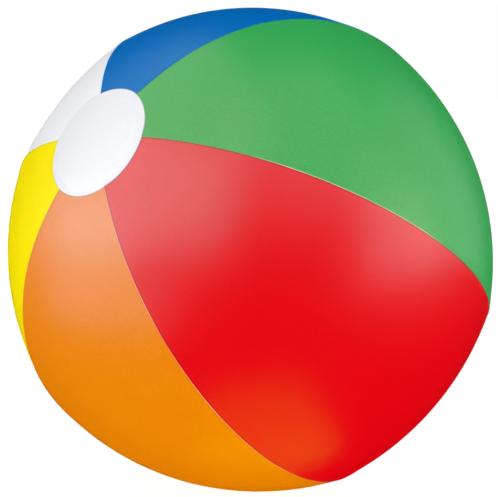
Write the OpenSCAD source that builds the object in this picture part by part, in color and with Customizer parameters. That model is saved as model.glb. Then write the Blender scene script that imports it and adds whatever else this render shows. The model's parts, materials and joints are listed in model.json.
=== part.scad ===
// Inflatable beach ball: six gores of film lap-welded edge to edge, an end disc welded over
// the gore tips at each pole, and an inflation valve in the white gore.
// Millimetres, +Z up. The ball stands on the floor z = 0 with the origin under its centre,
// and one pole is turned up, to the front and to the left.

/* [Ball] */
// Diameter across two opposite seams at the equator
equator_d = 390; // [300:1:480]
// How far each pole lies inside a true sphere of that diameter
pole_drop = 8.6; // [0:0.1:14]
// How far the centre line of a gore lies inside the circle through the seams
gore_sag = 4.7; // [0:0.1:9]
// Thickness of the film
film_t = 0.3; // [0.2:0.05:0.6]
// Width of the lap weld between two gores
lap_w = 4; // [3:0.5:7]

/* [End discs] */
// Diameter of an end disc
disc_d = 85.5; // [80:0.5:110]
// Width of the pressed weld band at the rim of a disc
disc_weld_w = 4; // [3:0.5:6]
// Distance from the centre of the front disc to the pole
front_disc_shift = 3.1; // [0:0.1:5]
// Direction of that shift, counted from the start of the red gore
front_disc_shift_angle = 297; // [0:1:359]
// Radius of the opening that the gore tips leave under a disc
tip_opening_r = 32; // [28:0.5:34]

/* [Stance] */
// Angle between the pole axis and the vertical
pole_lean = 57; // [30:1:80]
// Direction in which the upper pole leans, counted from +X
lean_heading = 227; // [0:1:359]
// Turn of the gores about the pole axis
gore_spin = 35; // [0:1:359]

/* [Valve] */
// Radius of the hole in the white gore
valve_hole_r = 11.5; // [11:0.5:14]
// Outer radius of the flange welded round the hole
flange_r = 18; // [16:0.5:22]
// Outer radius of the stem
stem_r = 5; // [4.5:0.1:5.5]
// Length of the stem
stem_l = 12; // [11:0.5:14]
// Radius of the throat, which takes the nozzle of a pump
throat_r = 2.75; // [2.5:0.05:3]
// Length of the throat
throat_l = 7; // [5:0.5:7]
// Radius of the mouth, which takes the stopper plug
mouth_r = 3.35; // [3.2:0.05:3.6]
// Radius of the head of the plug
plug_head_r = 6; // [5.5:0.1:6]

/* [Hidden] */

// Film
gores = 6;
gore_angle = 360 / gores;
seam_r = equator_d / 2;
pole_r = seam_r - pole_drop;
lap_step = 1.5; // the film comes back down to its own level over this width
rows = 32; // facets from tip to tip
columns = 8; // facets across a gore between its two laps
last_column = columns + 3;
tip_angle = asin(tip_opening_r / pole_r);

// End discs
disc_r = disc_d / 2;
disc_sides = 60;
disc_clear = film_t + 0.05; // the middle of a disc passes this far above the gore tips
weld_sink = 0.1; // a weld fuses the films to this depth

// Valve, with its own Z outwards from the skin of the gore
valve_longitude = 3.5 * gore_angle; // the centre line of the white gore
flange_t = 0.8;
flange_inner_r = valve_hole_r - 1;
bellows_t = 0.7;
mouth_z = -1;
stem_base_z = mouth_z - stem_l;
throat_top_z = stem_base_z + throat_l;
collar_z = mouth_z - stem_l / 2; // where the bellows meets the stem
lip_r = stem_r + 0.5;
lip_h = 1.2;
fit_gap = 0.02; // between faces that only touch
hinge_bead_r = 0.45;
hinge_x = lip_r + 1.4;
hinge_z = mouth_z - 0.2;
plug_head_t = 1.6;
plug_depth = 4.4;
plug_gap = 0.07; // between the plug and the wall of the mouth
tab_w = 5.2;
tab_reach = plug_head_r + 3;
strap_w = 4;
flap_r = throat_r + 1.15;
flap_t = 0.4;
flap_hinge_x = flap_r + 0.5;

vinyl_red = [0.90, 0.02, 0.08];
vinyl_green = [0.30, 0.69, 0.38];
vinyl_blue = [0.00, 0.41, 0.71];
vinyl_white = [0.93, 0.93, 0.95];
vinyl_yellow = [0.98, 0.91, 0.01];
vinyl_orange = [0.94, 0.53, 0.10];
valve_clear = [0.88, 0.90, 0.92];

// ---------------------------------------------------------------- the shape of the skin

// 1 at the equator, less towards the poles
function crown(theta) = 1 - pole_drop / seam_r * pow(abs(cos(theta)), 6);

// -1 and 1 at the seams, 0 on the centre line of a gore
function across(phi) = 2 * (phi / gore_angle - floor(phi / gore_angle)) - 1;

// Distance from the centre of the ball to the outside of a single film
function skin_r(theta, phi) = seam_r * crown(theta)
    * (1 - gore_sag / seam_r * pow(sin(theta), 2) * (1 - pow(across(phi), 2)));

function polar(r, theta, phi) =
    [r * sin(theta) * cos(phi), r * sin(theta) * sin(phi), r * cos(theta)];

// Angle of longitude that a width takes up at an angle theta from the pole
function width_angle(theta, width) = width / (seam_r * sin(theta)) * 180 / PI;

function row_angle(row) = tip_angle + (180 - 2 * tip_angle) * row / rows;

// Longitude of one column of a gore, counted from the edge that lies on top of its neighbour.
// The last column is the far edge of the strip that runs under the next gore.
function column_angle(theta, column) =
    let (open = width_angle(theta, lap_w + lap_step))
    column == 0 ? 0
    : column == 1 ? width_angle(theta, lap_w)
    : column == last_column ? gore_angle + width_angle(theta, lap_w)
    : open + (gore_angle - open) * (column - 2) / columns;

function column_lift(column) = column < 2 ? film_t : 0;

function gore_points(index) = [
    for (depth = [0, film_t]) for (row = [0:rows]) for (column = [0:last_column])
        let (theta = row_angle(row))
        let (phi = index * gore_angle + column_angle(theta, column))
        polar(skin_r(theta, phi) + column_lift(column) - depth, theta, phi)
];

// Height of a point of the ball above its centre, once the ball leans
function stance_z(p) = -sin(pole_lean) * (p.x * cos(gore_spin) - p.y * sin(gore_spin))
    + cos(pole_lean) * p.z;

centre_height = -min([
    for (index = [0:gores - 1]) for (p = gore_points(index)) stance_z(p)
]);

// ---------------------------------------------------------------- meshes of film

function quad(a, b, c, d) = [[a, b, c], [a, c, d]];

function flatten(lists) = [for (list = lists) for (item = list) item];

// Faces of a sheet whose points run row by row, first its outside and then its inside
function sheet_faces(row_count, column_count) =
    let (wide = column_count + 1)
    let (inside = wide * (row_count + 1))
    let (rim = concat(
        [for (c = [0:column_count]) c],
        [for (r = [1:row_count]) r * wide + column_count],
        [for (c = [column_count - 1:-1:0]) row_count * wide + c],
        [for (r = [row_count - 1:-1:1]) r * wide]
    ))
    flatten([
        for (r = [0:row_count - 1]) for (c = [0:column_count - 1])
            let (a = r * wide + c)
            concat(
                quad(a, a + 1, a + wide + 1, a + wide),
                quad(inside + a, inside + a + wide, inside + a + wide + 1, inside + a + 1)
            ),
        for (k = [0:len(rim) - 1])
            let (a = rim[k])
            let (b = rim[(k + 1) % len(rim)])
            quad(b, a, inside + a, inside + b)
    ]);

// A point at a lift above the skin, over a place (x, y) near the upper pole
function cap_point(x, y, lift) =
    let (theta = asin(norm([x, y]) / pole_r))
    let (phi = atan2(y, x))
    polar(skin_r(theta, phi) + lift, theta, phi);

// Radius of each ring of a disc, and the lift of its underside
disc_rings = [
    [disc_r * 0.3, disc_clear],
    [disc_r * 0.6, disc_clear],
    [disc_r - disc_weld_w - 0.8, disc_clear],
    [disc_r - disc_weld_w, -weld_sink],
    [disc_r, -weld_sink]
];

function disc_points(shift) = [
    for (top = [film_t, 0]) concat(
        [cap_point(shift.x, shift.y, disc_clear + top)],
        [for (ring = disc_rings) for (k = [0:disc_sides - 1])
            let (turn = -360 * k / disc_sides)
            cap_point(shift.x + ring[0] * cos(turn), shift.y + ring[0] * sin(turn), ring[1] + top)]
    )
];

function disc_faces() =
    let (rings = len(disc_rings))
    let (inside = 1 + rings * disc_sides)
    flatten([
        for (k = [0:disc_sides - 1])
            let (n = (k + 1) % disc_sides)
            let (rim = 1 + (rings - 1) * disc_sides)
            concat(
                [[0, 1 + k, 1 + n], [inside, inside + 1 + n, inside + 1 + k]],
                quad(rim + n, rim + k, inside + rim + k, inside + rim + n)
            ),
        for (ring = [0:rings - 2]) for (k = [0:disc_sides - 1])
            let (a = 1 + ring * disc_sides + k)
            let (b = 1 + ring * disc_sides + (k + 1) % disc_sides)
            concat(
                quad(a, a + disc_sides, b + disc_sides, b),
                quad(inside + a, inside + b, inside + b + disc_sides, inside + a + disc_sides)
            )
    ]);

// ---------------------------------------------------------------- places

module on_ball() {
    translate([0, 0, centre_height])
        rotate([0, pole_lean, lean_heading])
            rotate([0, 0, gore_spin])
                children();
}

module at_valve() {
    rotate([0, 90, valve_longitude])
        translate([0, 0, seam_r - gore_sag])
            children();
}

// ---------------------------------------------------------------- gores and end discs

module gore(index) {
    polyhedron(points = gore_points(index), faces = sheet_faces(rows, last_column));
}

module gore_red() {
    color(vinyl_red) on_ball() gore(0);
}

module gore_green() {
    color(vinyl_green) on_ball() gore(1);
}

module gore_blue() {
    color(vinyl_blue) on_ball() gore(2);
}

module gore_white() {
    color(vinyl_white)
        on_ball()
            difference() {
                gore(3);
                at_valve()
                    cylinder(r = valve_hole_r, h = 10, center = true, $fn = 64);
            }
}

module gore_yellow() {
    color(vinyl_yellow) on_ball() gore(4);
}

module gore_orange() {
    color(vinyl_orange) on_ball() gore(5);
}

module end_disc(shift) {
    polyhedron(points = flatten(disc_points(shift)), faces = disc_faces());
}

module end_disc_front() {
    shift = front_disc_shift * [cos(front_disc_shift_angle), sin(front_disc_shift_angle)];
    color(vinyl_white) on_ball() end_disc(shift);
}

module end_disc_back() {
    color(vinyl_white) on_ball() rotate([180, 0, 0]) end_disc([0, 0]);
}

// ---------------------------------------------------------------- valve

// Level of the inside of the film at a distance r from the axis of the valve
function film_inside(r) = -film_t - r * r / equator_d;

module valve_flange() {
    top_inner = film_inside(flange_inner_r) - weld_sink;
    top_outer = film_inside(flange_r) - weld_sink;
    color(valve_clear)
        on_ball() at_valve()
            rotate_extrude($fn = 72)
                polygon([
                    [flange_inner_r, top_inner], [flange_r, top_outer],
                    [flange_r, top_outer - flange_t / 2], [flange_inner_r, top_inner - flange_t]
                ]);
}

// The membrane that rolls over itself as the stem is pulled out
module valve_bellows() {
    rim_top = film_inside(flange_inner_r) - weld_sink;
    collar_r = stem_r + fit_gap;
    fold_r = stem_r + 1.2;
    color(valve_clear)
        on_ball() at_valve()
            rotate_extrude($fn = 72)
                polygon([
                    [flange_inner_r, rim_top], [flange_inner_r, rim_top - bellows_t],
                    [fold_r, collar_z - bellows_t], [collar_r, collar_z - bellows_t],
                    [collar_r, collar_z], [fold_r, collar_z]
                ]);
}

module valve_stem() {
    color(valve_clear)
        on_ball() at_valve()
            rotate_extrude($fn = 64)
                polygon([
                    [throat_r, stem_base_z], [stem_r, stem_base_z],
                    [stem_r, mouth_z - lip_h - 0.5], [lip_r, mouth_z - lip_h], [lip_r, mouth_z],
                    [mouth_r, mouth_z], [mouth_r, throat_top_z], [throat_r, throat_top_z]
                ]);
}

// One-way flap against the inner end of the stem, on a living hinge
module check_flap() {
    color(valve_clear)
        on_ball() at_valve()
            translate([0, 0, stem_base_z - fit_gap - flap_t]) {
                cylinder(r = flap_r, h = flap_t, $fn = 48);
                translate([0, -strap_w / 4, 0])
                    cube([flap_hinge_x, strap_w / 2, flap_t]);
                translate([flap_hinge_x, strap_w / 4, flap_t / 2])
                    rotate([90, 0, 0])
                        cylinder(r = flap_t / 2, h = strap_w / 2, $fn = 24);
            }
}

// Radius of the plug at a depth below its hinge: the arc that stays inside the mouth as it swings
function plug_r(depth) =
    sqrt(pow(hinge_x + mouth_r - plug_gap, 2) - depth * depth) - hinge_x;

module stopper_plug() {
    head_z = mouth_z + fit_gap;
    steps = 6;
    shank = [for (k = [0:steps])
        let (depth = plug_depth * k / steps)
        [plug_r(depth), hinge_z - depth]];
    color(valve_clear)
        on_ball() at_valve() {
            rotate_extrude($fn = 64)
                polygon(concat(
                    [[0, head_z + plug_head_t], [plug_head_r - 0.5, head_z + plug_head_t],
                    [plug_head_r, head_z + plug_head_t - 0.5], [plug_head_r, head_z],
                    [plug_r(0), head_z]],
                    shank,
                    [[0, hinge_z - plug_depth]]
                ));
            translate([0, 0, head_z + plug_head_t / 2]) {
                translate([tab_w / 2 - tab_reach, 0, 0])
                    cylinder(d = tab_w, h = plug_head_t / 2, $fn = 48);
                translate([tab_w / 2 - tab_reach, -tab_w / 2, 0])
                    cube([tab_reach - tab_w / 2, tab_w, plug_head_t / 2]);
            }
        }
}

// The strap that ties the plug to the stem, folded round its living hinge
module plug_strap() {
    leaf_t = 0.5;
    root_x = lip_r + fit_gap;
    tip_x = plug_head_r + fit_gap;
    color(valve_clear)
        on_ball() at_valve() {
            translate([hinge_x, strap_w / 2, hinge_z])
                rotate([90, 0, 0])
                    cylinder(r = hinge_bead_r, h = strap_w, $fn = 32);
            translate([root_x, -strap_w / 2, hinge_z - hinge_bead_r])
                cube([hinge_x - root_x, strap_w, leaf_t]);
            translate([tip_x, -strap_w / 2, hinge_z + hinge_bead_r - leaf_t])
                cube([hinge_x - tip_x, strap_w, leaf_t]);
        }
}

gore_red();
gore_green();
gore_blue();
gore_white();
gore_yellow();
gore_orange();
end_disc_front();
end_disc_back();
valve_flange();
valve_bellows();
valve_stem();
check_flap();
stopper_plug();
plug_strap();
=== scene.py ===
"""The looks of the inflatable beach ball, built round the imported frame. Everything is in metres.

The ball has its own frame: its centre is the origin and its Z axis goes out through the front
end disc. theta is the angle from that axis and phi the longitude, counted from the start of
the red gore. The valve has a frame of its own too, with Z outwards from the skin.
"""

import json
import math

import bmesh
import bpy
import numpy as np
from mathutils import Matrix, Vector


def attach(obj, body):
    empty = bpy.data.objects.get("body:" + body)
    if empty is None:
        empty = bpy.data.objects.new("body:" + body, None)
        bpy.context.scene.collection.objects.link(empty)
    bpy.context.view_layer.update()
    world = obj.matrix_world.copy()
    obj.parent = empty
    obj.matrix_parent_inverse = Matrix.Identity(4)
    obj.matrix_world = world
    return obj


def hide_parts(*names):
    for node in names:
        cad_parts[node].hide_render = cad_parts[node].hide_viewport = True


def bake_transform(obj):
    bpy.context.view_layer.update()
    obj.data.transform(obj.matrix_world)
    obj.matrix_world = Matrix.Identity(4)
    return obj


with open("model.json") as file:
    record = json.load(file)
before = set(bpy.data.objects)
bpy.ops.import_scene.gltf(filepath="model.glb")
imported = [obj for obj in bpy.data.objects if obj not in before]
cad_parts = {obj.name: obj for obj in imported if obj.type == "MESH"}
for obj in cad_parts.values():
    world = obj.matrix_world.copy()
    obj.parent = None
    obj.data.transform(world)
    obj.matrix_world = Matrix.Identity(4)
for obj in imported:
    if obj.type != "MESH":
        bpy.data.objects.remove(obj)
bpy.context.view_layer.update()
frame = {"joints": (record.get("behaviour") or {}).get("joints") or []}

MM = 0.001

# Film
SEAM_R = 195 * MM  # from the centre of the ball to a seam at the equator
POLE_DROP = 8.6 * MM
GORE_SAG = 4.7 * MM
FILM_T = 0.3 * MM
LAP_W = 4 * MM
LAP_STEP_W = 7 * MM  # over which a gore comes down from its neighbour's edge
CUT_EDGE_R = 0.35 * MM  # rounding of a gore's cut edge
PUCKER_H = 0.012 * MM  # the film draws in a little beside its seams
PUCKER_REACH = 9 * MM  # from a seam
PUCKER_LONG, PUCKER_SHORT = 5.1 * MM, 3.4 * MM  # its two waves along a seam
TIP_OPENING_R = 32 * MM
POLE_R = SEAM_R - POLE_DROP
GORES = ("red", "green", "blue", "white", "yellow", "orange")
GORE_ANGLE = 2 * math.pi / len(GORES)
TIP_ANGLE = math.asin(TIP_OPENING_R / POLE_R)
WELD = 0.02 * MM  # how far welded films reach into each other

# End discs
DISC_R = 42.75 * MM
DISC_DOME_H = 0.60 * MM  # at the edge of the middle
DISC_CROWN_H = 0.30 * MM  # further, at the centre
DISC_BAND_H = 0.26 * MM  # the pressed weld band
DISC_BAND_W = 4.2 * MM
DISC_RISE_W = 2.2 * MM  # from the band up to the middle
DISC_GROOVE_PLACE, DISC_GROOVE_W, DISC_GROOVE_DEPTH = 3.2 * MM, 0.5 * MM, 0.08 * MM
DISC_EDGE_R = 0.3 * MM
DISC_RIM_SHARE = 0.12  # of the height, left at the very rim
DISC_INSIDE_H = 0.35 * MM  # most that the inside of a disc stands off the gores
FRONT_DISC_SHIFT = 3.1 * MM
FRONT_DISC_SHIFT_ANGLE = math.radians(297)

# Valve
VALVE_HOLE_R = 11.5 * MM
FLANGE_R = 18 * MM
FLANGE_INNER_R = 10.5 * MM
FLANGE_T, FLANGE_INNER_T = 0.4 * MM, 0.8 * MM  # at its outer and its inner edge
FLANGE_GAP = 0.1 * MM
MEMBRANE_T = 0.55 * MM
MEMBRANE_FOLD_H = 0.22 * MM
MEMBRANE_GAP = 0.15 * MM  # from the film
COLLAR_W = 1.0 * MM
COLLAR_RISE = 0.15 * MM  # of its bore above the foot of the membrane
COLLAR_GAP = 0.005 * MM
STEM_R = 5 * MM
STEM_L = 12 * MM
THROAT_R = 2.75 * MM
THROAT_L = 7 * MM
MOUTH_R = 3.35 * MM
MOUTH_Z = -1 * MM
LIP_R = 5.5 * MM
LIP_H = 1.2 * MM
LIP_TAPER_H = 0.5 * MM
PLUG_HEAD_R = 6 * MM
PLUG_HEAD_T = 1.6 * MM
PLUG_DEPTH = 4.4 * MM
PLUG_GAP = 0.07 * MM
PLUG_DIMPLE_R, PLUG_DIMPLE_DEPTH = 2.0 * MM, 0.25 * MM
HINGE_X = 6.9 * MM
HINGE_Z = -1.2 * MM
HINGE_BEAD_R = 0.45 * MM
STRAP_W = 4 * MM
STRAP_GAP = 0.1 * MM  # from the plane of the hinge to each leaf
TAB_W = 5.2 * MM
TAB_REACH = 9 * MM
TAB_ROOT_X = -4.4 * MM
TAB_FLARE_W = 1.0 * MM  # each side, at its root
TAB_T = 0.45 * PLUG_HEAD_T
TAB_RIB_W, TAB_RIB_H = 0.32 * MM, 0.16 * MM
TAB_RIB_PLACES = (-6.9 * MM, -7.6 * MM, -8.3 * MM)
FLAP_R = 3.9 * MM
FLAP_T = 0.4 * MM
FLAP_BOSS_R, FLAP_BOSS_H = 1.2 * MM, 0.12 * MM
FLAP_ARM_FROM, FLAP_ARM_TO = FLAP_R - 1.5 * MM, FLAP_R + 0.6 * MM
FIT_GAP = 0.02 * MM
COLLAR_Z = MOUTH_Z - STEM_L / 2
STEM_BASE_Z = MOUTH_Z - STEM_L


# ------------------------------------------------------------------ places, from the frame

def unit(vector):
    vector = np.array(vector, float)
    return vector / np.linalg.norm(vector)


joints = {joint["name"]: joint for joint in frame["joints"]}

valve_z = unit(joints["valve_pull"]["axis"])
valve_y = unit(joints["plug_swing"]["axis"])
valve_x = np.cross(valve_y, valve_z)
valve_axes = np.column_stack([valve_x, valve_y, valve_z])
valve_origin = (
    np.array(joints["plug_swing"]["pos_m"]) - valve_x * HINGE_X - valve_z * HINGE_Z
)

VALVE_PHI = 3.5 * GORE_ANGLE  # the centre line of the white gore
VALVE_SKIN_R = SEAM_R - GORE_SAG
ball_centre = valve_origin - valve_z * VALVE_SKIN_R
ball_axes = np.column_stack([
    valve_z * math.cos(VALVE_PHI) - valve_y * math.sin(VALVE_PHI),
    valve_z * math.sin(VALVE_PHI) + valve_y * math.cos(VALVE_PHI),
    -valve_x,
])


def from_ball(points):
    return ball_centre + np.asarray(points, float) @ ball_axes.T


def from_valve(points):
    return valve_origin + np.asarray(points, float) @ valve_axes.T


# ------------------------------------------------------------------ the shape of the skin

def smooth(x, low, high):
    """0 below low, 1 above high, and a smooth rise between them."""
    t = np.clip((np.asarray(x, float) - low) / (high - low), 0, 1)
    return t * t * (3 - 2 * t)


def plateau(x, rise_from, rise_to, fall_from, fall_to):
    """1 between rise_to and fall_from, and 0 outside rise_from and fall_to."""
    return smooth(x, rise_from, rise_to) * (1 - smooth(x, fall_from, fall_to))


def skin_r(theta, phi):
    """Distance from the centre of the ball to the outside of a single film."""
    crown = 1 - POLE_DROP / SEAM_R * np.abs(np.cos(theta)) ** 6
    across = 2 * np.mod(phi / GORE_ANGLE, 1) - 1
    return SEAM_R * crown * (1 - GORE_SAG / SEAM_R * np.sin(theta) ** 2 * (1 - across**2))


def polar(r, theta, phi):
    return np.stack(
        [r * np.sin(theta) * np.cos(phi), r * np.sin(theta) * np.sin(phi), r * np.cos(theta)],
        axis=-1,
    )


def lap_lift(distance):
    """Height of a gore above its neighbour, at a distance from its own welded edge."""
    edge = np.clip(distance / CUT_EDGE_R, 0, 1)
    round_edge = np.sqrt(1 - (1 - edge) ** 2)
    return FILM_T * round_edge * (1 - smooth(distance, LAP_W, LAP_W + LAP_STEP_W))


def puckers(theta, phi, distance):
    """The film draws in a little beside a seam, in soft folds across it."""
    along = theta * SEAM_R
    waves = np.sin(along / PUCKER_LONG + 3 * np.sin(phi * 5)) + np.sin(along / PUCKER_SHORT + 1.7)
    return PUCKER_H * waves * np.exp(-((distance / PUCKER_REACH) ** 2))


# ------------------------------------------------------------------ meshes

def new_mesh(name, points, faces, uv=None, sharp=math.radians(40)):
    """A smooth mesh object. uv has one pair for each point."""
    mesh = bpy.data.meshes.new(name)
    mesh.from_pydata([tuple(p) for p in points], [], [tuple(f) for f in faces])
    mesh.update()
    if uv is not None:
        layer = mesh.uv_layers.new(name="film")
        corner = np.zeros(len(mesh.loops), np.int32)
        mesh.loops.foreach_get("vertex_index", corner)
        layer.data.foreach_set("uv", np.asarray(uv, np.float32)[corner].ravel())
    mesh.shade_smooth()
    mesh.set_sharp_from_angle(angle=sharp)
    thing = bpy.data.objects.new(name, mesh)
    bpy.context.scene.collection.objects.link(thing)
    return thing


def closed_sheet(name, outside, inside, faces, uv):
    """A film with an outside and an inside. The faces are those of the outside."""
    count = len(outside)
    edges = {}
    for face in faces:
        for a, b in zip(face, face[1:] + face[:1]):
            edges[(a, b)] = True
    rim = [(b, a, a + count, b + count) for a, b in edges if (b, a) not in edges]
    under = [tuple(i + count for i in reversed(face)) for face in faces]
    points = np.vstack([outside, inside])
    return new_mesh(name, points, list(faces) + under + rim, np.vstack([uv, uv]))


def grid_faces(row_count, column_count, skip=()):
    """Quads between points that run row by row, with the block skip left out."""
    wide = column_count + 1
    faces = []
    for row in range(row_count):
        for column in range(column_count):
            if skip and skip[0] <= row < skip[1] and skip[2] <= column < skip[3]:
                continue
            a = row * wide + column
            faces.append((a, a + wide, a + wide + 1, a + 1))
    return faces


# ------------------------------------------------------------------ gores

ROWS = 176
COLUMNS = 44
EDGE_DISTANCES = np.array([
    0, 0.06, 0.16, 0.35, 0.8, 2.2, 4.0, 5.2, 6.4, 7.6, 8.8, 10.0, 11.0, 13.0,
]) * MM
UNDER_DISTANCES = np.array([0.5, 4.0]) * MM
FAR_FROM_SEAMS = 50 * MM  # stands for any distance at which a seam no longer shows
WIDE_LAP = {"white": 2.6 * MM}  # how much further it reaches over its neighbour at the front
WIDE_LAP_FROM, WIDE_LAP_TO = math.radians(14), math.radians(50)


def lap_reach(colour_name, theta):
    """How much further a gore reaches over its neighbour than an even division gives."""
    return WIDE_LAP.get(colour_name, 0) * (1 - smooth(theta, WIDE_LAP_FROM, WIDE_LAP_TO))


def gore_places(index):
    """theta, phi and distance from the welded edge, for each point of a gore's grid."""
    theta = np.linspace(TIP_ANGLE, math.pi - TIP_ANGLE, ROWS + 1)[:, None]
    width = 1 / (SEAM_R * np.sin(theta))
    opened = EDGE_DISTANCES[-1] * width
    share = np.linspace(0, 1, COLUMNS + 1)[None, 1:]
    reach = lap_reach(GORES[index], theta) * width
    turn = np.hstack([
        EDGE_DISTANCES * width - reach,
        opened - reach + (GORE_ANGLE - opened + reach) * share,
        GORE_ANGLE + UNDER_DISTANCES * width,
    ])
    theta = np.broadcast_to(theta, turn.shape)
    phi = turn + index * GORE_ANGLE
    return theta.ravel(), phi.ravel(), ((turn + reach) / width).ravel()


def far_distance(theta, phi, index):
    """Distance to the seam where the gore runs under its neighbour."""
    return np.abs((index + 1) * GORE_ANGLE - phi) * SEAM_R * np.sin(theta)


def gore_surface(theta, phi, distance, index):
    fold = puckers(theta, phi, distance) + puckers(theta, phi, far_distance(theta, phi, index))
    on_top = lap_lift(distance)
    outside = skin_r(theta, phi) + fold + on_top
    level = skin_r(theta, phi) + fold + FILM_T * (1 - smooth(distance, LAP_W, LAP_W + LAP_STEP_W))
    return outside, np.minimum(level - FILM_T, outside) - WELD


def gore(index):
    """One gore of film, from the opening at one pole to the opening at the other."""
    theta, phi, distance = gore_places(index)
    outside, inside = gore_surface(theta, phi, distance, index)
    row_width = len(EDGE_DISTANCES) + COLUMNS + len(UNDER_DISTANCES)
    faces = grid_faces(ROWS, row_width - 1)
    uv = np.column_stack([distance, far_distance(theta, phi, index)])
    if GORES[index] == "white":
        patch = ValvePatch(theta, phi, row_width)
        faces = grid_faces(ROWS, row_width - 1, patch.block) + patch.faces
        theta = np.append(theta, patch.theta)
        phi = np.append(phi, patch.phi)
        far = np.full(len(patch.theta), FAR_FROM_SEAMS)
        outside, inside = gore_surface(theta, phi, np.append(distance, far), index)
        outside[len(distance):] += patch.lift
        inside[len(distance):] += patch.lift
        uv = np.vstack([uv, np.column_stack([far, far])])
    return closed_sheet(
        "film_" + GORES[index],
        from_ball(polar(outside, theta, phi)),
        from_ball(polar(inside, theta, phi)),
        faces,
        uv,
    )


class ValvePatch:
    """The part of the white gore round the valve: rings from the hole out to the grid."""

    HALF_ROWS = 8
    HALF_COLUMNS = 6
    RINGS = VALVE_HOLE_R + np.array([
        0, 0.12, 0.3, 0.7, 1.1, 1.5, 1.9, 2.5, 3.1, 3.7, 4.3,
        4.9, 5.3, 5.7, 6.1, 6.5, 7.1, 7.9, 8.9,
    ]) * MM
    RINGS_TO_GRID = (0.3, 0.6)
    BAND, BAND_DEPTH = (12.4 * MM, 13.2 * MM, 16.8 * MM, 17.6 * MM), 0.14 * MM
    RIB, RIB_H = (14.2 * MM, 14.8 * MM, 15.4 * MM, 16.0 * MM), 0.09 * MM

    def __init__(self, theta, phi, row_width):
        table_theta = theta.reshape(-1, row_width)
        table_phi = phi.reshape(-1, row_width)
        row = int(np.argmin(np.abs(table_theta[:, 0] - math.pi / 2)))
        column = int(np.argmin(np.abs(table_phi[row] - VALVE_PHI)))
        low_row, high_row = row - self.HALF_ROWS, row + self.HALF_ROWS
        low_column, high_column = column - self.HALF_COLUMNS, column + self.HALF_COLUMNS
        self.block = (low_row, high_row, low_column, high_column)
        frame_places = (
            [(low_row, c) for c in range(low_column, high_column)]
            + [(r, high_column) for r in range(low_row, high_row)]
            + [(high_row, c) for c in range(high_column, low_column, -1)]
            + [(r, low_column) for r in range(high_row, low_row, -1)]
        )
        border = [r * row_width + c for r, c in frame_places]
        down = np.array([table_theta[r, c] - math.pi / 2 for r, c in frame_places])
        round_ = np.array([table_phi[r, c] - VALVE_PHI for r, c in frame_places])
        corner = VALVE_SKIN_R * np.column_stack([np.sin(down), np.cos(down) * np.sin(round_)])
        between = (corner + np.roll(corner, -1, axis=0)) / 2
        square = np.stack([corner, between], axis=1).reshape(-1, 2)
        circle = square / np.linalg.norm(square, axis=1)[:, None]
        rings = [circle * r for r in self.RINGS]
        rings += [rings[-1] * (1 - t) + square * t for t in self.RINGS_TO_GRID]
        x, y = np.vstack(rings).T
        lean = np.arcsin(x / VALVE_SKIN_R)
        self.theta = math.pi / 2 + lean
        self.phi = VALVE_PHI + np.arcsin(y / (VALVE_SKIN_R * np.cos(lean)))
        self.lift = self.weld_press(np.hypot(x, y))
        self.faces = self.ring_faces(len(theta), len(rings), len(square), border)

    def weld_press(self, r):
        """The band where the flange is welded from inside is pressed in, with a rib in it."""
        return self.RIB_H * plateau(r, *self.RIB) - self.BAND_DEPTH * plateau(r, *self.BAND)

    @staticmethod
    def ring_faces(first, ring_count, sides, border):
        faces = []
        for ring in range(ring_count - 1):
            start = first + ring * sides
            for k in range(sides):
                n = (k + 1) % sides
                faces.append((start + k, start + n, start + sides + n, start + sides + k))
        last = first + (ring_count - 1) * sides
        for k, a in enumerate(border):
            b = border[(k + 1) % len(border)]
            left, middle, right = last + 2 * k, last + 2 * k + 1, last + (2 * k + 2) % sides
            faces.extend([(left, middle, a), (middle, b, a), (middle, right, b)])
        return [tuple(reversed(face)) for face in faces]


# ------------------------------------------------------------------ end discs

DISC_SIDES = 216
DISC_RINGS = DISC_R - np.concatenate([
    np.linspace(40, 10, 16),
    [8.6, 7.6, 6.9, 6.4, 6.0, 5.6, 5.2, 4.7, 4.2, 3.8, 3.5],
    [3.2, 2.9, 2.6, 2.2, 1.6, 1.0, 0.6, 0.3, 0.15, 0.05, 0],
]) * MM
DISC_LAPS_FADE = (31 * MM, 35 * MM)  # from the pole, where the laps start to show through


def disc_lift(r):
    """Height of the outside of a disc above the skin: a low dome, the weld band, the rim."""
    from_rim = DISC_R - r
    dome = DISC_DOME_H + DISC_CROWN_H * (1 - (r / DISC_R) ** 2)
    risen = smooth(from_rim, DISC_BAND_W, DISC_BAND_W + DISC_RISE_W)
    groove = np.exp(-(((from_rim - DISC_GROOVE_PLACE) / DISC_GROOVE_W) ** 2))
    level = DISC_BAND_H + (dome - DISC_BAND_H) * risen - DISC_GROOVE_DEPTH * groove
    edge = np.clip(from_rim / DISC_EDGE_R, 0, 1)
    round_edge = np.sqrt(1 - (1 - edge) ** 2)
    return level * (DISC_RIM_SHARE + (1 - DISC_RIM_SHARE) * round_edge)


def lap_under_disc(theta, phi, from_pole):
    """Height of the laps that a disc covers."""
    distance = np.mod(phi, GORE_ANGLE) * from_pole
    for name in WIDE_LAP:
        from_edge = (phi - GORES.index(name) * GORE_ANGLE) * from_pole + lap_reach(name, theta)
        own = (from_edge >= 0) & (from_edge < GORE_ANGLE * from_pole)
        distance = np.where(own, from_edge, distance)
    return lap_lift(distance) * smooth(from_pole, *DISC_LAPS_FADE)


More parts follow.
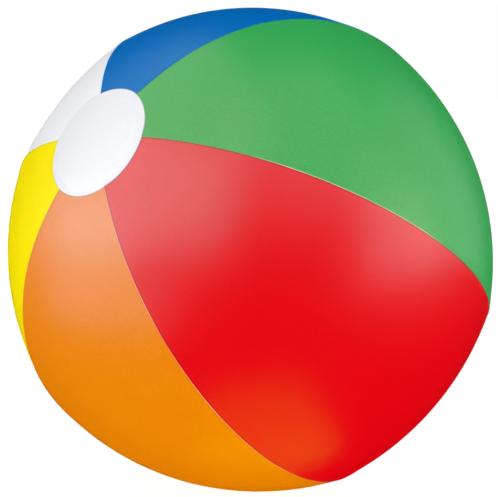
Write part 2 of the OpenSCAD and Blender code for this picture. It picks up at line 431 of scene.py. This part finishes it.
def end_disc(name, shift, face):
    """A disc over the gore tips. face is 1 at the front pole and -1 at the back pole."""
    turn = np.linspace(0, 2 * math.pi, DISC_SIDES, endpoint=False)
    radius = np.repeat(DISC_RINGS, DISC_SIDES)
    x = shift[0] + radius * np.cos(np.tile(turn, len(DISC_RINGS)))
    y = shift[1] + radius * np.sin(np.tile(turn, len(DISC_RINGS)))
    x, y, radius = np.append(x, shift[0]), np.append(y, shift[1]), np.append(radius, 0)
    from_pole = np.hypot(x, y)
    theta = np.arcsin(from_pole / POLE_R)
    if face < 0:
        theta = math.pi - theta
    phi = np.mod(np.arctan2(y * face, x), 2 * math.pi)
    skin = skin_r(theta, phi)
    outside = skin + disc_lift(radius) + lap_under_disc(theta, phi, from_pole)
    inside = np.minimum(outside - FILM_T, skin + DISC_INSIDE_H) - WELD
    faces = []
    middle = len(radius) - 1
    for k in range(DISC_SIDES):
        n = (k + 1) % DISC_SIDES
        faces.append((middle, k, n))
        for ring in range(len(DISC_RINGS) - 1):
            a, b = ring * DISC_SIDES + k, ring * DISC_SIDES + n
            faces.append((a, a + DISC_SIDES, b + DISC_SIDES, b))
    uv = np.column_stack([DISC_R - radius, radius])
    return closed_sheet(
        name,
        from_ball(polar(outside, theta, phi)),
        from_ball(polar(inside, theta, phi)),
        faces,
        uv,
    )


# ------------------------------------------------------------------ valve

LATHE_SIDES = 96
MEMBRANE_STEPS = 28
SHARP_VALVE_ANGLE = math.radians(50)
SHARP_JOIN_ANGLE = math.radians(35)
MERGE_DISTANCE = 0.001 * MM


def rounded(corners, steps=5):
    """A closed outline whose corners (x, z, radius) are rounded by that radius."""
    outline = []
    for i, (x, z, radius) in enumerate(corners):
        point = np.array([x, z])
        if radius == 0:
            outline.append(point)
            continue
        before = np.array(corners[i - 1][:2]) - point
        after = np.array(corners[(i + 1) % len(corners)][:2]) - point
        for t in np.linspace(0, 1, steps):
            start = point + unit(before) * radius
            end = point + unit(after) * radius
            outline.append((1 - t) ** 2 * start + 2 * t * (1 - t) * point + t**2 * end)
    return np.array(outline)


def lathe(name, outline, sides=LATHE_SIDES):
    """A turned piece: a closed outline of (r, z) swept round the axis of the valve."""
    turn = np.linspace(0, 2 * math.pi, sides, endpoint=False)
    count = len(outline)
    ring = np.empty((sides, count, 3))
    ring[..., 0] = np.cos(turn)[:, None] * outline[:, 0]
    ring[..., 1] = np.sin(turn)[:, None] * outline[:, 0]
    ring[..., 2] = outline[:, 1]
    faces = []
    for k in range(sides):
        n = (k + 1) % sides
        for i in range(count):
            j = (i + 1) % count
            faces.append((k * count + i, n * count + i, n * count + j, k * count + j))
    thing = new_mesh(name, from_valve(ring.reshape(-1, 3)), faces, sharp=SHARP_VALVE_ANGLE)
    tidy(thing)
    return thing


def extruded(name, outline, across, place, bevel=0.0):
    """An outline extruded by across, centred, with place turning (u, v, w) into valve axes."""
    count = len(outline)
    points = [place(u, v, w) for w in (-across / 2, across / 2) for u, v in outline]
    faces = [tuple(range(count)), tuple(range(2 * count - 1, count - 1, -1))]
    for i in range(count):
        j = (i + 1) % count
        faces.append((i, i + count, j + count, j))
    thing = new_mesh(name, from_valve(points), faces, sharp=SHARP_VALVE_ANGLE)
    tidy(thing)
    if bevel:
        modifier = thing.modifiers.new("bevel", "BEVEL")
        modifier.width = bevel
        modifier.segments = 3
        modifier.limit_method = "ANGLE"
        modifier.angle_limit = SHARP_VALVE_ANGLE
        apply_modifiers(thing)
    return thing


def tidy(thing):
    """Merges points that share a place and turns every face outwards."""
    work = bmesh.new()
    work.from_mesh(thing.data)
    bmesh.ops.remove_doubles(work, verts=work.verts, dist=MERGE_DISTANCE)
    bmesh.ops.dissolve_degenerate(work, edges=work.edges, dist=MERGE_DISTANCE)
    bmesh.ops.recalc_face_normals(work, faces=work.faces)
    work.to_mesh(thing.data)
    work.free()


def apply_modifiers(thing):
    evaluated = thing.evaluated_get(bpy.context.evaluated_depsgraph_get())
    made = bpy.data.meshes.new_from_object(evaluated)
    thing.modifiers.clear()
    thing.data = made


def joined(thing, other):
    """thing with other fused to it."""
    modifier = thing.modifiers.new("join", "BOOLEAN")
    modifier.operation = "UNION"
    modifier.solver = "EXACT"
    modifier.object = other
    apply_modifiers(thing)
    bpy.data.objects.remove(other)
    tidy(thing)
    thing.data.shade_smooth()
    thing.data.set_sharp_from_angle(angle=SHARP_JOIN_ANGLE)
    return thing


def film_inside(r):
    """Level of the inside of the film at a distance r from the axis of the valve."""
    return -FILM_T - r * r / (2 * SEAM_R)


def valve_flange():
    top_inner = film_inside(FLANGE_INNER_R) - FLANGE_GAP
    top_outer = film_inside(FLANGE_R) - FLANGE_GAP
    return lathe("valve_flange_ring", rounded([
        (FLANGE_INNER_R, top_inner, 0.2 * MM),
        (FLANGE_R, top_outer, 0.1 * MM),
        (FLANGE_R, top_outer - FLANGE_T, 0.1 * MM),
        (FLANGE_INNER_R, top_inner - FLANGE_INNER_T, 0.2 * MM),
    ]))


def valve_bellows():
    """The membrane between the flange and the stem, with two shallow folds round it."""
    rim = np.array([FLANGE_INNER_R, film_inside(FLANGE_INNER_R) - MEMBRANE_GAP])
    foot = np.array([STEM_R + COLLAR_W, COLLAR_Z])
    along = np.linspace(0, 1, MEMBRANE_STEPS)[:, None]
    slope = unit(foot - rim)
    across = np.array([-slope[1], slope[0]])
    wave = MEMBRANE_FOLD_H * np.sin(along * 4 * math.pi) * np.sin(along * math.pi)
    top = rim + (foot - rim) * along + across * wave
    bore = STEM_R + COLLAR_GAP
    collar = [(bore, COLLAR_Z + COLLAR_RISE), (bore, COLLAR_Z - MEMBRANE_T)]
    bottom = (top - np.array([0, MEMBRANE_T]))[::-1]
    return lathe("valve_membrane", np.vstack([top, collar, bottom]))


def valve_stem():
    neck_z = MOUTH_Z - LIP_H
    throat_top_z = STEM_BASE_Z + THROAT_L
    return lathe("valve_stem_tube", rounded([
        (THROAT_R, STEM_BASE_Z, 0.15 * MM),
        (STEM_R, STEM_BASE_Z, 0.4 * MM),
        (STEM_R, neck_z - LIP_TAPER_H, 0.3 * MM),
        (LIP_R, neck_z, 0.2 * MM),
        (LIP_R, MOUTH_Z, 0.35 * MM),
        (MOUTH_R, MOUTH_Z, 0.15 * MM),
        (MOUTH_R, throat_top_z, 0.1 * MM),
        (THROAT_R, throat_top_z, 0.2 * MM),
    ]))


def plug_r(depth):
    """Radius of the plug at a depth below its hinge, so that it clears the mouth as it swings."""
    return math.sqrt((HINGE_X + MOUTH_R - PLUG_GAP) ** 2 - depth**2) - HINGE_X


def stopper_plug():
    head_z = MOUTH_Z + FIT_GAP
    top_z = head_z + PLUG_HEAD_T
    shank = [(plug_r(d), HINGE_Z - d, 0) for d in np.linspace(0, PLUG_DEPTH, 9)[:-1]]
    body = lathe("stopper_plug_soft", rounded(
        [
            (0, top_z - PLUG_DIMPLE_DEPTH, 0),
            (0.8 * PLUG_DIMPLE_R, top_z - PLUG_DIMPLE_DEPTH, 0.15 * MM),
            (PLUG_DIMPLE_R, top_z, 0.15 * MM),
            (PLUG_HEAD_R, top_z, 0.45 * MM),
            (PLUG_HEAD_R, head_z, 0.2 * MM),
            (plug_r(0), head_z, 0.1 * MM),
        ]
        + shank
        + [(plug_r(PLUG_DEPTH), HINGE_Z - PLUG_DEPTH, 0.35 * MM), (0, HINGE_Z - PLUG_DEPTH, 0)]
    ))
    flare = [(TAB_ROOT_X, TAB_W / 2 + TAB_FLARE_W), (-PLUG_HEAD_R, TAB_W / 2)]
    tip = TAB_W / 2 - TAB_REACH
    arc = [
        (tip + TAB_W / 2 * math.cos(a), TAB_W / 2 * math.sin(a))
        for a in np.linspace(math.pi / 2, 3 * math.pi / 2, 25)
    ]
    outline = flare + arc + [(x, -y) for x, y in reversed(flare)]
    middle_z = head_z + 0.75 * PLUG_HEAD_T - 0.04 * MM
    tab = extruded(
        "plug_tab", outline, TAB_T,
        lambda u, v, w: (u, v, middle_z + w), bevel=0.14 * MM,
    )
    body = joined(body, tab)
    side, top = TAB_RIB_W / 2, TAB_RIB_H
    for x in TAB_RIB_PLACES:
        half = math.sqrt((TAB_W / 2) ** 2 - min(0, x - tip) ** 2) - 0.6 * MM
        rib = extruded(
            "plug_rib",
            rounded([
                (-side, -0.1 * MM, 0), (side, -0.1 * MM, 0),
                (0.75 * side, top, top / 2), (-0.75 * side, top, top / 2),
            ]),
            2 * half,
            lambda u, v, w, x=x: (x + u, w, middle_z + TAB_T / 2 + v),
        )
        body = joined(body, rib)
    return body


def plug_strap():
    """Two leaves joined by a bead that turns about the hinge of the plug."""
    root = LIP_R + FIT_GAP - HINGE_X
    tip = PLUG_HEAD_R + FIT_GAP - HINGE_X
    arc = [
        (HINGE_BEAD_R * math.cos(a), HINGE_BEAD_R * math.sin(a))
        for a in np.linspace(-math.pi / 2, math.pi / 2, 17)
    ]
    outline = (
        [(root, -STRAP_GAP), (root, -HINGE_BEAD_R)]
        + arc
        + [(tip, HINGE_BEAD_R), (tip, STRAP_GAP)]
        + [(-STRAP_GAP / 2, STRAP_GAP), (-STRAP_GAP / 2, -STRAP_GAP)]
    )
    return extruded(
        "plug_strap_soft", outline, STRAP_W,
        lambda u, v, w: (HINGE_X + u, w, HINGE_Z + v), bevel=0.06 * MM,
    )


def check_flap():
    top = STEM_BASE_Z - FIT_GAP
    bottom, boss = top - FLAP_T, top - FLAP_T - FLAP_BOSS_H
    disc = lathe("check_flap_soft", rounded([
        (0, top, 0), (FLAP_R, top, 0.1 * MM), (FLAP_R, bottom, 0.15 * MM),
        (FLAP_BOSS_R, bottom, 0.1 * MM), (FLAP_BOSS_R - 0.2 * MM, boss, 0.05 * MM), (0, boss, 0),
    ]))
    arm = extruded(
        "flap_arm",
        [(FLAP_ARM_FROM, -STRAP_W / 4), (FLAP_ARM_TO, -STRAP_W / 4),
         (FLAP_ARM_TO, STRAP_W / 4), (FLAP_ARM_FROM, STRAP_W / 4)],
        FLAP_T * 0.9,
        lambda u, v, w: (u, v, top - FLAP_T / 2 + w), bevel=0.1 * MM,
    )
    return joined(disc, arm)


# ------------------------------------------------------------------ materials

def material(name):
    made = bpy.data.materials.new(name)
    made.use_nodes = True
    nodes = made.node_tree.nodes
    nodes.clear()
    output = nodes.new("ShaderNodeOutputMaterial")
    shader = nodes.new("ShaderNodeBsdfPrincipled")
    made.node_tree.links.new(shader.outputs["BSDF"], output.inputs["Surface"])
    return made, shader


def add(tree, kind, **settings):
    made = tree.nodes.new(kind)
    for key, value in settings.items():
        setattr(made, key, value)
    return made


def noise(tree, position, scale, detail=3.0, roughness=0.55):
    made = add(tree, "ShaderNodeTexNoise")
    made.inputs["Scale"].default_value = scale
    made.inputs["Detail"].default_value = detail
    made.inputs["Roughness"].default_value = roughness
    tree.links.new(position, made.inputs["Vector"])
    return made.outputs["Fac"]


def ramp(tree, value, low, high, out_low, out_high):
    """value, taken from low..high to out_low..out_high and held there."""
    made = add(tree, "ShaderNodeMapRange")
    for key, number in zip(
        ("From Min", "From Max", "To Min", "To Max"), (low, high, out_low, out_high)
    ):
        made.inputs[key].default_value = number
    tree.links.new(value, made.inputs["Value"])
    return made.outputs["Result"]


def mix_colour(tree, share, first, second):
    made = add(tree, "ShaderNodeMix", data_type="RGBA")
    tree.links.new(share, made.inputs["Factor"])
    for key, colour in (("A", first), ("B", second)):
        socket = next(s for s in made.inputs if s.name == key and s.type == "RGBA")
        if isinstance(colour, bpy.types.NodeSocket):
            tree.links.new(colour, socket)
        else:
            socket.default_value = (*colour, 1)
    return next(s for s in made.outputs if s.type == "RGBA")


def bump(tree, shader, heights):
    """Fine relief from a list of (height, depth in metres)."""
    normal = None
    for height, depth in heights:
        made = add(tree, "ShaderNodeBump")
        made.inputs["Strength"].default_value = 1
        made.inputs["Distance"].default_value = depth
        tree.links.new(height, made.inputs["Height"])
        if normal is not None:
            tree.links.new(normal, made.inputs["Normal"])
        normal = made.outputs["Normal"]
    tree.links.new(normal, shader.inputs["Normal"])


GRAIN_SCALE, GRAIN_DEPTH = 1500, 0.014 * MM
MOTTLE_SCALE, MOTTLE_DEPTH = 240, 0.010 * MM
SPECK_SCALE = 800
CLOUD_SCALE = 22
EDGE_SHOWS_TO = 0.6 * MM  # the tone of a cut edge has gone there
# Painted shade: the film's colour is darkened towards this tone in narrow bands beside the seams
# and round the end discs.
PAINTED_SHADE_TONE = (0.01, 0.01, 0.01)
PAINTED_SHADE_SOFT = 0.1 * MM
OWN_EDGE_PAINTED_SHADE = (0.55 * MM, 1.4 * MM)
NEIGHBOUR_EDGE_PAINTED_SHADE = (-1 * MM, 0.8 * MM)
# The pale cut edge of a gore whose edge highlight ends is a painted highlight, kept only on the
# front half where the edge catches the light. These are where it turns to the deep tone, a
# painted shade, towards the back and towards the front, along the axis of the ball.
EDGE_HIGHLIGHT_ENDS = ((48 * MM, 22 * MM), (138 * MM, 160 * MM))
EDGE_UNLIT_SHARE = 0.85
CENTRE_ALONG = float(ball_centre @ ball_axes[:, 2])  # the ball's centre, along that axis

DISC_SHIFTS = {
    "front": FRONT_DISC_SHIFT * np.array(
        [math.cos(FRONT_DISC_SHIFT_ANGLE), math.sin(FRONT_DISC_SHIFT_ANGLE)]
    ),
    "back": np.zeros(2),
}
DISC_CENTRES = [
    from_ball([*shift, math.copysign(math.sqrt(POLE_R**2 - shift @ shift), face)])
    for shift, face in ((DISC_SHIFTS["front"], 1), (DISC_SHIFTS["back"], -1))
]
DISC_REACH = math.hypot(DISC_R, DISC_R**2 / (2 * POLE_R))  # from there to the disc's rim
# A painted shadow of each end disc's rim, in a narrow ring on the gores just outside it.
DISC_RIM_PAINTED_SHADOW = (DISC_REACH - 1 * MM, DISC_REACH + 0.55 * MM)


def add_painted_shade(tree, tone, place, band, strength):
    """tone, darkened by strength in a band (start, end) of distances: a painted shade."""
    start, end = band
    inside = ramp(tree, place, start - PAINTED_SHADE_SOFT, start + PAINTED_SHADE_SOFT, 0, 1)
    before_end = ramp(tree, place, end - 2 * PAINTED_SHADE_SOFT, end + 2 * PAINTED_SHADE_SOFT, strength, 0)
    share = add(tree, "ShaderNodeMath", operation="MULTIPLY")
    tree.links.new(inside, share.inputs[0])
    tree.links.new(before_end, share.inputs[1])
    return mix_colour(tree, share.outputs["Value"], tone, PAINTED_SHADE_TONE)


def film_material(name, colour, deep, edge, tint, painted_shades, gloss=0.36, ior=1.5, edge_highlight_ends=False):
    """Satin PVC film. deep is the darker tone of its mottling, tint that of its highlights.

    edge is the tone of its cut edge: partly the film's own paler edge and partly a painted
    highlight. Where the edge highlight is set to end, it turns to the deep tone towards both
    ends of the ball, a painted shade where the edge catches no light. The painted shade strengths
    are three: beside its own edge, beside the edge of the neighbour that lies over it, and beside
    an end disc, where it is a painted shadow of the disc's rim. gloss is the roughness of its
    surface and ior its index of refraction.
    """
    made, shader = material(name)
    tree = made.node_tree
    place = add(tree, "ShaderNodeTexCoord").outputs["Object"]
    grain = noise(tree, place, GRAIN_SCALE, 2.0)
    mottle = noise(tree, place, MOTTLE_SCALE, 3.0)
    cloud = noise(tree, place, CLOUD_SCALE, 2.0)
    speck = noise(tree, place, SPECK_SCALE, 2.0)
    tone = mix_colour(tree, ramp(tree, speck, 0.3, 0.7, 0, 1), colour, deep)
    tone = mix_colour(tree, ramp(tree, mottle, 0.35, 0.75, 0, 0.5), tone, colour)
    seam = add(tree, "ShaderNodeUVMap", uv_map="film")
    split = add(tree, "ShaderNodeSeparateXYZ")
    tree.links.new(seam.outputs["UV"], split.inputs["Vector"])
    own, other = split.outputs["X"], split.outputs["Y"]
    along = add(tree, "ShaderNodeVectorMath", operation="DOT_PRODUCT")
    tree.links.new(place, along.inputs[0])
    along.inputs[1].default_value = ball_axes[:, 2]
    # The cut edge's tone: partly the film's own paler edge, partly a painted highlight, dimmed in
    # random patches.
    edge_tone_and_highlight = mix_colour(tree, ramp(tree, cloud, 0.38, 0.62, 0, 0.4), edge, deep)
    # Painted shade: the edge highlight turns to the deep tone towards both ends of the ball.
    for lit_to, unlit_from in EDGE_HIGHLIGHT_ENDS if edge_highlight_ends else ():
        start, end = CENTRE_ALONG + lit_to, CENTRE_ALONG + unlit_from
        share = ramp(tree, along.outputs["Value"], start, end, 0, EDGE_UNLIT_SHARE)
        edge_tone_and_highlight = mix_colour(tree, share, edge_tone_and_highlight, deep)
    tone = mix_colour(tree, ramp(tree, own, CUT_EDGE_R, EDGE_SHOWS_TO, 1, 0), tone, edge_tone_and_highlight)
    # Painted shade beside the gore's own cut edge and beside the edge of the neighbour over it.
    tone = add_painted_shade(tree, tone, own, OWN_EDGE_PAINTED_SHADE, painted_shades[0])
    tone = add_painted_shade(tree, tone, other, NEIGHBOUR_EDGE_PAINTED_SHADE, painted_shades[1])
    # Painted shadow of each end disc's rim on the gore.
    for centre in DISC_CENTRES if painted_shades[2] else ():
        away = add(tree, "ShaderNodeVectorMath", operation="DISTANCE")
        tree.links.new(place, away.inputs[0])
        away.inputs[1].default_value = centre
        tone = add_painted_shade(tree, tone, away.outputs["Value"], DISC_RIM_PAINTED_SHADOW, painted_shades[2])
    tree.links.new(tone, shader.inputs["Base Color"])
    rough = ramp(tree, mottle, 0.3, 0.7, gloss - 0.02, gloss + 0.03)
    tree.links.new(rough, shader.inputs["Roughness"])
    shader.inputs["IOR"].default_value = ior
    shader.inputs["Specular Tint"].default_value = (*tint, 1)
    bump(tree, shader, [(grain, GRAIN_DEPTH), (mottle, MOTTLE_DEPTH)])
    return made


VALVE_CLOUD_SCALE = 420
VALVE_GRAIN_SCALE, VALVE_GRAIN_DEPTH = 3800, 0.003 * MM


def valve_material():
    """Milky soft PVC."""
    made, shader = material("valve_vinyl_soft")
    tree = made.node_tree
    place = add(tree, "ShaderNodeTexCoord").outputs["Object"]
    cloud = noise(tree, place, VALVE_CLOUD_SCALE, 3.0)
    fine = noise(tree, place, VALVE_GRAIN_SCALE, 2.0)
    tone = mix_colour(
        tree, ramp(tree, cloud, 0.3, 0.7, 0, 1), (0.80, 0.83, 0.86), (0.72, 0.76, 0.81)
    )
    tree.links.new(tone, shader.inputs["Base Color"])
    tree.links.new(ramp(tree, fine, 0.3, 0.7, 0.26, 0.36), shader.inputs["Roughness"])
    shader.inputs["IOR"].default_value = 1.5
    shader.inputs["Subsurface Weight"].default_value = 0.5
    shader.inputs["Subsurface Radius"].default_value = (1.0, 1.1, 1.2)
    shader.inputs["Subsurface Scale"].default_value = 1.2 * MM
    bump(tree, shader, [(fine, VALVE_GRAIN_DEPTH)])
    return made


# ------------------------------------------------------------------ the pieces

def finish_piece(thing, look, node):
    thing.data.materials.clear()
    thing.data.materials.append(look)
    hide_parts(node)


# The three shade strengths in each look are painted shade beside the seams and a painted shadow
# round the end discs.
FILM_LOOKS = {
    "red": dict(
        colour=(0.735, 0, 0.006), deep=(0.665, 0, 0.003), edge=(1, 0.34, 0.24),
        tint=(0.3, 1, 1), painted_shades=(0.42, 0.45, 0.55),
    ),
    "green": dict(
        colour=(0.030, 0.385, 0.088), deep=(0.020, 0.335, 0.072), edge=(0.62, 0.52, 0.32),
        tint=(1, 0.55, 0.55), painted_shades=(0, 0.10, 0.12), edge_highlight_ends=True,
    ),
    "blue": dict(
        colour=(0, 0.138, 0.468), deep=(0, 0.122, 0.428), edge=(0.01, 0.20, 0.30),
        tint=(0, 1, 1), painted_shades=(0.10, 0, 0.10), ior=1.33,
    ),
    "white": dict(
        colour=(0.835, 0.84, 0.87), deep=(0.805, 0.81, 0.845), edge=(0.70, 0.86, 1),
        tint=(1, 1, 1), painted_shades=(0, 0, 0.08),
    ),
    "yellow": dict(
        colour=(0.94, 0.775, 0), deep=(0.87, 0.715, 0), edge=(0.85, 0.80, 0.45),
        tint=(1, 1, 0), painted_shades=(0.22, 0.10, 0.22),
    ),
    "orange": dict(
        colour=(0.775, 0.220, 0), deep=(0.715, 0.196, 0), edge=(0.70, 0.40, 0.10),
        tint=(0.2, 0.65, 1), painted_shades=(0.15, 0, 0.25),
    ),
    "disc": dict(
        # Its dark edge tone is a painted shadow round the rim of the disc.
        colour=(0.75, 0.76, 0.785), deep=(0.715, 0.725, 0.755), edge=(0.40, 0.37, 0.42),
        tint=(1, 1, 1), painted_shades=(0, 0, 0), gloss=0.40,
    ),
}

for number, colour_name in enumerate(GORES):
    piece = gore(number)
    look = film_material("film_" + colour_name, **FILM_LOOKS[colour_name])
    finish_piece(piece, look, "gore_" + colour_name)
    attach(piece, "ball")

disc_look = film_material("film_disc", **FILM_LOOKS["disc"])
for disc_name, disc_face in (("front", 1), ("back", -1)):
    piece = end_disc("disc_" + disc_name, DISC_SHIFTS[disc_name], disc_face)
    finish_piece(piece, disc_look, "end_disc_" + disc_name)
    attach(piece, "ball")

soft_vinyl = valve_material()
for make, node_name, body_name in (
    (valve_flange, "valve_flange", "ball"),
    (valve_stem, "valve_stem", "valve_stem"),
    (stopper_plug, "stopper_plug", "stopper_plug"),
    (check_flap, "check_flap", "check_flap"),
):
    piece = make()
    finish_piece(piece, soft_vinyl, node_name)
    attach(piece, body_name)

membrane = valve_bellows()
finish_piece(membrane, soft_vinyl, "valve_bellows")
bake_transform(membrane)

strap = plug_strap()
finish_piece(strap, soft_vinyl, "plug_strap")
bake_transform(strap)


# ------------------------------------------------------------------ floor

FLOOR_RINGS = (0.05, 0.15, 0.3, 0.6, 1.2, 2.5, 6.0)
FLOOR_SIDES = 128
FLOOR_TONE = (0.95, 0.95, 0.95, 1)
FLOOR_GLOW = 1.12
GLOW_FROM, GLOW_TO = 0.3, 1.6  # from the middle of the floor
GLOW_SHARE_FROM, GLOW_SHARE_TO = 0.85, 1


def floor():
    """A round pale floor whose brightness meets the background's far from the ball."""
    points = [(0, 0, 0)]
    faces = []
    sides = FLOOR_SIDES
    for i, r in enumerate(FLOOR_RINGS):
        for k in range(sides):
            a = 2 * math.pi * k / sides
            points.append((r * math.cos(a), r * math.sin(a), 0))
            n = (k + 1) % sides
            if i == 0:
                faces.append((0, 1 + k, 1 + n))
            else:
                b = 1 + (i - 1) * sides
                faces.append((b + k, b + sides + k, b + sides + n, b + n))
    thing = new_mesh("floor", points, faces)
    made = bpy.data.materials.new("floor_pale")
    made.use_nodes = True
    tree = made.node_tree
    tree.nodes.clear()
    place = add(tree, "ShaderNodeTexCoord").outputs["Object"]
    length = add(tree, "ShaderNodeVectorMath", operation="LENGTH")
    tree.links.new(place, length.inputs[0])
    glow = add(tree, "ShaderNodeEmission")
    glow.inputs["Strength"].default_value = FLOOR_GLOW
    paint = add(tree, "ShaderNodeBsdfDiffuse")
    paint.inputs["Color"].default_value = FLOOR_TONE
    blend = add(tree, "ShaderNodeMixShader")
    share = ramp(
        tree, length.outputs["Value"], GLOW_FROM, GLOW_TO, GLOW_SHARE_FROM, GLOW_SHARE_TO
    )
    tree.links.new(share, blend.inputs["Fac"])
    tree.links.new(paint.outputs["BSDF"], blend.inputs[1])
    tree.links.new(glow.outputs["Emission"], blend.inputs[2])
    output = add(tree, "ShaderNodeOutputMaterial")
    tree.links.new(blend.outputs["Shader"], output.inputs["Surface"])
    thing.data.materials.append(made)
    thing.visible_glossy = False
    thing.visible_diffuse = False


floor()


# ------------------------------------------------------------------ light

def direction(azimuth, elevation):
    """Azimuth is 0 towards the camera and grows to its right. Degrees."""
    a, e = math.radians(azimuth), math.radians(elevation)
    return Vector((math.sin(a) * math.cos(e), -math.cos(a) * math.cos(e), math.sin(e)))


def panel(name, place, out, width, height, radiance, colour):
    """A rectangular light whose back points along out. radiance 1 is the brightness of white."""
    data = bpy.data.lights.new(name, "AREA")
    data.shape = "RECTANGLE"
    data.size, data.size_y = width, height
    data.energy = radiance * math.pi * width * height
    data.color = colour
    data.cycles.use_multiple_importance_sampling = False
    lamp = bpy.data.objects.new(name, data)
    bpy.context.scene.collection.objects.link(lamp)
    lamp.location = place
    lamp.rotation_mode = "QUATERNION"
    lamp.rotation_quaternion = out.to_track_quat("Z", "Y")
    lamp.visible_camera = False
    return lamp


SOFTBOX_DISTANCE = 1.3


def softbox(name, azimuth, elevation, width, height, radiance, distance=SOFTBOX_DISTANCE):
    """A light that makes highlights only. It faces the ball."""
    out = direction(azimuth, elevation)
    place = Vector(ball_centre) + out * distance
    panel(name, place, out, width, height, radiance, (1, 1, 1)).visible_diffuse = False


def fill(name, place, out, width, height, radiance):
    """A light that makes no highlights: a wall of the white tent round the ball."""
    lamp = panel(name, Vector(place), Vector(out), width, height, radiance, (1, 1, 1))
    lamp.visible_glossy = False


# The seven rows from softbox_left to softbox_strip weren't chosen by hand: a scratch program
# fitted their highlights to the photograph's by least squares. softbox_rear was not part of
# that fit.
softbox("softbox_left", -55, 29, 2.12, 0.78, 3.4)
softbox("softbox_low_left", -75, 10, 0.98, 0.46, 4.4)
softbox("softbox_right", 67, 8, 0.95, 0.81, 3.3)
softbox("softbox_far_right", 98, 12, 1.41, 1.74, 0.9)
softbox("softbox_top_left", -71, 62, 1.98, 1.09, 1.7)
softbox("softbox_top_right", 39, 53, 1.56, 1.76, 1.3)
softbox("softbox_strip", -57, -9, 0.51, 0.16, 1.8, distance=0.5)
softbox("softbox_rear", 180, 0, 0.30, 0.20, 3.0, distance=0.58)

# The brightnesses of the tent come from a fit of the same kind, but for the right wall's.
TENT = 1.6  # from the middle of the tent to its walls and its roof
TABLE_Z = 0.2 * MM
fill("tent_roof", (0, 0, TENT), (0, 0, 1), 2 * TENT, 2 * TENT, 1.15)
fill("tent_table", (0, 0, TABLE_Z), (0, 0, -1), 2 * TENT, 2 * TENT, 1.29)
for side, x, y, brightness in (
    ("front", 0, -1, 1.00), ("back", 0, 1, 1.12), ("left", -1, 0, 1.24), ("right", 1, 0, 1.25),
):
    wall = (x * TENT, y * TENT, TENT / 2)
    fill("tent_" + side, wall, (x, y, 0), 2 * TENT, TENT, brightness)


CARD_HALF_W, CARD_H = 220 * MM, 300 * MM
CARD_BEHIND, CARD_ABOVE = 600 * MM, 10 * MM  # from the middle of the floor


def card():
    """A dark card behind the ball, that shades the middle of its back. Only shadows show it."""
    low, high = CARD_ABOVE, CARD_ABOVE + CARD_H
    corners = [
        (-CARD_HALF_W, CARD_BEHIND, low), (CARD_HALF_W, CARD_BEHIND, low),
        (CARD_HALF_W, CARD_BEHIND, high), (-CARD_HALF_W, CARD_BEHIND, high),
    ]
    thing = new_mesh("card", corners, [(0, 1, 2, 3)])
    thing.visible_camera = thing.visible_diffuse = thing.visible_glossy = False


card()

# The warm floor in front, which shows as a glow low on the red gore
BOUNCE_PLACE = (20 * MM, -202 * MM, 0.3 * MM)
BOUNCE_W, BOUNCE_H = 160 * MM, 170 * MM
BOUNCE_COLOUR = (1, 0.8, 0)
bounce = panel(
    "bounce", Vector(BOUNCE_PLACE), Vector((0, 0, -1)), BOUNCE_W, BOUNCE_H, 0.9, BOUNCE_COLOUR
)
bounce.visible_diffuse = False

world = bpy.data.worlds.new("studio")
world.use_nodes = True
world.node_tree.nodes["Background"].inputs["Color"].default_value = (1, 1, 1, 1)
world.cycles_visibility.diffuse = False
world.cycles_visibility.glossy = False
bpy.context.scene.world = world
bpy.context.scene.view_settings.view_transform = "Standard"


# ------------------------------------------------------------------ camera

CAMERA_DISTANCE = 0.9935
CAMERA_ELEVATION = 9.9
CAMERA_ROLL = 0.2
CAMERA_LENS, SENSOR_W = 89.12, 36  # millimetres
AIM_OFFSET = Vector((-0.73 * MM, 0, 1.18 * MM))

camera_data = bpy.data.cameras.new("camera")
camera_data.lens = CAMERA_LENS
camera_data.sensor_width = SENSOR_W
camera = bpy.data.objects.new("camera", camera_data)
bpy.context.scene.collection.objects.link(camera)
camera.location = Vector(ball_centre) + direction(0, CAMERA_ELEVATION) * CAMERA_DISTANCE
aim = Vector(ball_centre) + AIM_OFFSET
look_rotation = (aim - camera.location).to_track_quat("-Z", "Y").to_matrix()
roll = Matrix.Rotation(math.radians(-CAMERA_ROLL), 3, "Z")
camera.rotation_euler = (look_rotation @ roll).to_euler()
bpy.context.scene.camera = camera
